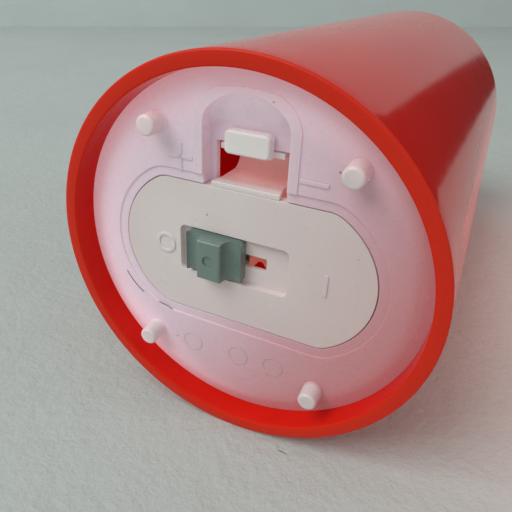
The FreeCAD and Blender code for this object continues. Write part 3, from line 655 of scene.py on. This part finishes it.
# --- pieces -------------------------------------------------------------------------------
def shell_profile():
    """Closed wall section of the shell, from the lip up the outside and back down the bore."""
    lip, top = shell_lip_round, shell_top_round
    inner = bore_radius
    rim = shell_radius - dish_rim_width
    dish_floor_z = shell_top - dish_depth
    ceiling_z = dish_floor_z - dish_floor_thickness
    slope = math.degrees(math.atan2(dish_depth, rim - dish_floor_radius))
    points = arc_points((inner + lip * 0.5, lip * 0.5), lip * 0.5, 180, 270, 4)
    points += arc_points((shell_radius - lip, lip), lip, 270, 360, 6)
    wall_steps = 40
    wall_top = shell_top - top
    points += [(shell_radius, lip + (wall_top - lip) * step / wall_steps) for step in range(1, wall_steps)]
    points += arc_points((shell_radius - top, wall_top), top, 0, 90, 10)
    rim_centre = (rim, shell_top - top)
    points += arc_points(rim_centre, top, 90, 90 + slope, 8)
    flare_centre = (dish_floor_radius - dish_flare_inset, dish_floor_z + dish_flare)
    points += arc_points(flare_centre, dish_flare, -90 + slope, -90, 8)
    points += [(neck_radius, dish_floor_z), (neck_radius, ceiling_z)]
    ledge = inner - insert_shoulder
    points += [(ledge, ceiling_z), (ledge, insert_shoulder_z), (inner, insert_shoulder_z)]
    points += [(inner, insert_shoulder_z * 0.4), (inner, 2 * lip)]
    return points


def make_shell():
    made = bmesh.new()
    spin(made, shell_profile(), closed=True)
    return finish_piece(object_from(made, "shell"), "base", wax_red(), ["candle_shell"])


def make_soft_nodes(milky, cream):
    """Moulded pieces whose edges show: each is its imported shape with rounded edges."""
    plan = [
        ("base_insert", "base", "base_white", milky, 0.22 * MM),
        ("battery_door", "door", "door_cream", cream, 0.16 * MM),
        ("latch_spring", "door", "door_cream", latch_pink(), 0.14 * MM),
        ("latch_tab", "latch", "door_cream", latch_white(), 0.30 * MM),
        ("switch_slider", "slider", "switch_grey", switch_grey(), 0.34 * MM),
    ]
    for node, body, slot, material, width in plan:
        finish_piece(softened(node, width), body, material, [node])


def ring_profile(radius, width, face_z, height):
    """Section of a flat ring that stands out of a face by its height and sinks in by as much."""
    low, high = face_z - height, face_z + height
    return [(radius - width, high), (radius - width, low), (radius, low), (radius, high)]


def make_marks(milky, cream):
    """Raised marks: + and - beside the latch, three plain rings, and a bar and a ring beside the switch."""
    base_z = (base_face_z - mark_height, base_face_z + mark_height)
    x, y = polarity_place
    made = bmesh.new()
    flat, upright = (polarity_arm, mark_width), (mark_width, polarity_arm)
    for bar_x, size in ((-x, flat), (-x, upright), (x, flat)):
        add_bar(made, (bar_x, y), size, base_z)
    finish_piece(rounded(object_from(made, "polarity_marks"), mark_rounding), "base", milky)
    made = bmesh.new()
    ejector = ring_profile(ejector_radius, ejector_width, base_face_z, ejector_height)
    for place in ejector_places:
        spin(made, ejector, True, place, mark_steps)
    finish_piece(rounded(object_from(made, "ejector_rings"), ejector_rounding), "base", milky)
    door_z = (door_face_z - mark_height, door_face_z + mark_height)
    made = bmesh.new()
    add_bar(made, (switch_mark_x, 0.0), (mark_width, switch_mark_size), door_z)
    ring = ring_profile(switch_mark_size / 2, mark_width, door_face_z, mark_height)
    spin(made, ring, True, (-switch_mark_x, 0.0), mark_steps)
    finish_piece(rounded(object_from(made, "switch_marks"), mark_rounding), "door", cream)


def swept_wire_tree(name, path_kind, path_inputs, **path_settings):
    """A round wire swept along a path curve, moved into place and painted.

    path_inputs lists (label, socket kind, name of the path node's own input).
    """
    tree = bpy.data.node_groups.new(name, "GeometryNodeTree")
    shared = [("Wire Radius", "NodeSocketFloat"), ("Place", "NodeSocketVector"),
              ("Finish", "NodeSocketMaterial")]
    for label, kind in [entry[:2] for entry in path_inputs] + shared:
        tree.interface.new_socket(label, in_out="INPUT", socket_type=kind)
    tree.interface.new_socket("Geometry", in_out="OUTPUT", socket_type="NodeSocketGeometry")
    inside, out = tree.nodes.new("NodeGroupInput"), tree.nodes.new("NodeGroupOutput")
    path = add(tree, path_kind, **path_settings)
    path.inputs["Resolution"].default_value = 48
    for label, _, own_name in path_inputs:
        link(tree, inside.outputs[label], path.inputs[own_name])
    section = add(tree, "GeometryNodeCurvePrimitiveCircle", mode="RADIUS")
    section.inputs["Resolution"].default_value = 12
    link(tree, inside.outputs["Wire Radius"], section.inputs["Radius"])
    sweep = add(tree, "GeometryNodeCurveToMesh")
    sweep.inputs["Fill Caps"].default_value = True
    link(tree, path.outputs[0], sweep.inputs["Curve"])
    link(tree, section.outputs[0], sweep.inputs["Profile Curve"])
    place = add(tree, "GeometryNodeTransform")
    link(tree, sweep.outputs[0], place.inputs["Geometry"])
    link(tree, inside.outputs["Place"], place.inputs["Translation"])
    real = add(tree, "GeometryNodeRealizeInstances")
    link(tree, place.outputs[0], real.inputs[0])
    paint = add(tree, "GeometryNodeSetMaterial")
    link(tree, real.outputs[0], paint.inputs["Geometry"])
    link(tree, inside.outputs["Finish"], paint.inputs["Material"])
    link(tree, paint.outputs[0], out.inputs[0])
    return tree


def swept_piece(tree, name, values):
    """Plain mesh object made by a swept wire tree with the given inputs."""
    obj = new_object(name, bpy.data.meshes.new(name))
    wire = obj.modifiers.new("wire", "NODES")
    wire.node_group = tree
    for item in tree.interface.items_tree:
        if item.in_out == "INPUT":
            wire[item.identifier] = values[item.name]
    applied(obj)
    made = bmesh.new()
    made.from_mesh(obj.data)
    bmesh.ops.recalc_face_normals(made, faces=made.faces)
    made.to_mesh(obj.data)
    made.free()
    shade(obj.data, 60)
    return obj


def make_springs(material):
    """Wound conical springs for the flat ends of the two cells."""
    inputs = [("Turns", "NodeSocketFloat", "Rotations"), ("Base Radius", "NodeSocketFloat", "Start Radius"),
              ("Top Radius", "NodeSocketFloat", "End Radius"), ("Rise", "NodeSocketFloat", "Height")]
    tree = swept_wire_tree("wound spring", "GeometryNodeCurveSpiral", inputs)
    for node, body, points_up in (("door_spring", "door", True), ("top_spring", "base", False)):
        low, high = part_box(node)
        wire = spring_wire / 2
        rise = high[2] - low[2] - spring_wire
        foot_z = low[2] + wire if points_up else high[2] - wire
        values = {"Turns": spring_turns, "Base Radius": (high[0] - low[0]) / 2 - wire,
                  "Top Radius": spring_top_radius, "Rise": rise if points_up else -rise, "Wire Radius": wire,
                  "Place": ((low[0] + high[0]) / 2, (low[1] + high[1]) / 2, foot_z), "Finish": material}
        obj = swept_piece(tree, node + "_wound", values)
        finish_piece(obj, body, material, [node])


def make_dark_arcs():
    """Two thin dark arcs lying on the base beside the door."""
    dark = moulded_plastic("dark arc", (0.02, 0.015, 0.013), (0.05, 0.035, 0.03), 0.5, 0.7).material
    inputs = [("Start", "NodeSocketVector", "Start"), ("Middle", "NodeSocketVector", "Middle"),
              ("End", "NodeSocketVector", "End")]
    tree = swept_wire_tree("bent dark arc", "GeometryNodeCurveArc", inputs, mode="POINTS")
    for name, points in dark_arc_paths.items():
        start, middle, end = [(x * MM, y * MM, 0.0) for x, y in points]
        values = {"Start": start, "Middle": middle, "End": end, "Wire Radius": dark_arc_radius,
                  "Place": (0.0, 0.0, base_face_z - dark_arc_sink), "Finish": dark}
        finish_piece(swept_piece(tree, name, values), "base", dark)


def paint_nodes(nickel):
    """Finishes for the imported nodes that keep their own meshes."""
    white = carrier_white()
    steel = metal("screw steel", (0.60, 0.60, 0.61), 0.24, 0.36, (700.0, 700.0, 90.0))
    finishes = {
        "contact_carrier": white, "battery_holder": white, "flame_collar": white, "flame_tip": flame_amber(),
        "bridge_contact": nickel, "door_contact_positive": nickel, "door_contact_negative": nickel,
        "top_contact_negative": nickel, "top_contact_positive": nickel,
        "carrier_screws": steel, "holder_screws": steel, "board_screws": steel,
        "battery_left": cell_wrap("battery_left", True), "battery_right": cell_wrap("battery_right", False),
        "circuit_board": board_green(), "controller_blob": epoxy_black(), "resistor": resistor_tan(),
        "red_wire": vinyl("red vinyl", (0.50, 0.02, 0.02)),
        "black_wire": vinyl("black vinyl", (0.02, 0.02, 0.02)),
        "led_wires": vinyl("lead vinyl", (0.03, 0.03, 0.03)), "led": led_lens(),
        "led_leads": metal("tinned lead", (0.75, 0.75, 0.74), 0.2, 0.3, (60.0, 60.0, 900.0)),
    }
    for name, material in finishes.items():
        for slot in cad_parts[name].material_slots:
            slot.material = material


# --- camera, stage and light --------------------------------------------------------------
camera_place = Vector((34.69, -46.90, -67.84)) * MM
camera_right = Vector((0.90384, -0.04737, 0.42521))
camera_up = Vector((-0.24669, -0.86972, 0.42747))
camera_back = Vector((0.34957, -0.49126, -0.79779))
table_normal = Vector((-0.052, -0.9986, 0.0))
stage_size = 6.0
wall_distance = 1.25


def facing(place, normal):
    """Matrix that puts an object at a place with its own Z along a direction."""
    return Matrix.Translation(place) @ normal.to_track_quat("Z", "Y").to_matrix().to_4x4()


def frame_matrix(right, up, back, place):
    turn = Matrix((right, up, back)).transposed().to_4x4()
    return Matrix.Translation(place) @ turn


def make_camera():
    data = bpy.data.cameras.new("camera")
    data.sensor_width = 36.0
    data.lens = 35.16
    data.clip_start = 0.005
    camera = bpy.data.objects.new("camera", data)
    camera.matrix_world = frame_matrix(camera_right, camera_up, camera_back, camera_place)
    bpy.context.scene.collection.objects.link(camera)
    bpy.context.scene.camera = camera


def stage_plane(name, centre, normal, material):
    mesh = bpy.data.meshes.new(name)
    half = stage_size / 2
    corners = [(-half, -half, 0), (half, -half, 0), (half, half, 0), (-half, half, 0)]
    mesh.from_pydata(corners, [], [(0, 1, 2, 3)])
    mesh.materials.append(material)
    obj = new_object(name, mesh)
    obj.matrix_world = facing(centre, normal)


def stage_paint(name, colour, scale, bump):
    """Matt paint that is only seen and lit from its front, so it never blocks a view from behind."""
    finish = Finish(name, Roughness=0.55, Specular_IOR_Level=0.3)
    tree = finish.tree
    spot = mapped(tree, noise(tree, finish.position, scale, 5.0, 0.6), 0.3, 0.7)
    darker = tuple(0.93 * part for part in colour)
    body = mixed(tree, spot, colour, darker)
    scuffs = use_group(tree, hairlines, Position=finish.position, Stretch=(28.0, 36.0, 30.0), Density=0.30)
    body = mixed(tree, math_node(tree, "MULTIPLY", scuffs.outputs["Mask"], 0.30), body, (0.30, 0.28, 0.27))
    finish.set("Base Color", body)
    grain = noise(tree, finish.position, 420.0, 6.0, 0.65)
    dents = noise(tree, finish.position, 95.0, 3.0, 0.5)
    relief = math_node(tree, "ADD", grain, math_node(tree, "MULTIPLY", dents, 1.4))
    finish.bump(math_node(tree, "SUBTRACT", relief, scuffs.outputs["Mask"]), bump)
    clear = add(tree, "ShaderNodeBsdfTransparent")
    choose = add(tree, "ShaderNodeMixShader")
    link(tree, add(tree, "ShaderNodeNewGeometry").outputs["Backfacing"], choose.inputs[0])
    link(tree, finish.surface.outputs[0], choose.inputs[1])
    link(tree, clear.outputs[0], choose.inputs[2])
    link(tree, choose.outputs[0], tree.nodes["Material Output"].inputs["Surface"])
    return finish.material


def make_stage():
    table_point = -table_normal * shell_radius
    table_paint = stage_paint("table paint", (0.54, 0.56, 0.54), 9.0, 0.5 * MM)
    stage_plane("table", table_point, table_normal, table_paint)
    forward = -camera_back
    along_table = (forward - table_normal * forward.dot(table_normal)).normalized()
    wall_point = table_point + along_table * wall_distance
    wall_paint = stage_paint("wall paint", (0.62, 0.67, 0.66), 6.0, 0.2 * MM)
    stage_plane("wall", wall_point, -along_table, wall_paint)


def make_dark_card():
    """Dark upright sheet standing to the right, behind the candle; only glossy surfaces mirror it."""
    finish = Finish("card black", Base_Color=(0.06, 0.05, 0.05, 1.0), Roughness=1.0, Specular_IOR_Level=0.0)
    mesh = bpy.data.meshes.new("dark card")
    depth = 600 * MM
    outline = [(54 * MM, 37 * MM), (139 * MM, -260 * MM), (420 * MM, -260 * MM), (420 * MM, 37 * MM)]
    mesh.from_pydata([(x, y, depth) for x, y in outline], [], [(0, 1, 2, 3)])
    mesh.materials.append(finish.material)
    card = new_object("dark card", mesh)
    card.visible_camera = False
    card.visible_diffuse = False
    card.visible_shadow = False
    card.visible_transmission = False


def beside_camera(right, up, back):
    """Point given in the camera's directions, from the middle of the candle."""
    middle = Vector((0, 0, shell_top / 2))
    return middle + camera_right * right + camera_up * up + camera_back * back


def area_light(name, place, target, size, power, colour=(1.0, 1.0, 1.0)):
    data = bpy.data.lights.new(name, "AREA")
    data.shape = "SQUARE"
    data.size = size
    data.energy = power
    data.color = colour
    light = bpy.data.objects.new(name, data)
    light.matrix_world = facing(place, place - target)
    bpy.context.scene.collection.objects.link(light)
    return light


def make_lights():
    target = Vector((0, 0, 20 * MM))
    area_light("window", beside_camera(-1.5, 1.45, 1.75), target, 1.9, 48.0, (0.93, 1.0, 0.99))
    area_light("room fill", beside_camera(0.4, 0.2, 2.2), target, 1.6, 4.0, (1.0, 0.95, 0.92))
    glow_place = Vector((95, -15, 85)) * MM
    below_glow = glow_place - table_normal * 0.1
    glow = area_light("shell glow", glow_place, below_glow, 0.14, 0.04, (1.0, 0.46, 0.42))
    glow.visible_camera = False
    glow.visible_glossy = False
    world = bpy.data.worlds.new("soft room")
    world.use_nodes = True
    world.node_tree.nodes["Background"].inputs["Color"].default_value = (0.84, 0.90, 0.88, 1.0)
    world.node_tree.nodes["Background"].inputs["Strength"].default_value = 0.36
    bpy.context.scene.world = world
    bpy.context.scene.view_settings.view_transform = "Standard"


# --- making -------------------------------------------------------------------------------
make_camera()
make_shell()
base_finish, door_finish = milky_base(), door_cream()
make_soft_nodes(base_finish, door_finish)
make_marks(base_finish, door_finish)
contact_nickel = metal("contact nickel", (0.80, 0.78, 0.74), 0.16, 0.26, (900.0, 60.0, 900.0))
make_springs(contact_nickel)
make_dark_arcs()
paint_nodes(contact_nickel)
make_stage()
make_dark_card()
make_lights()
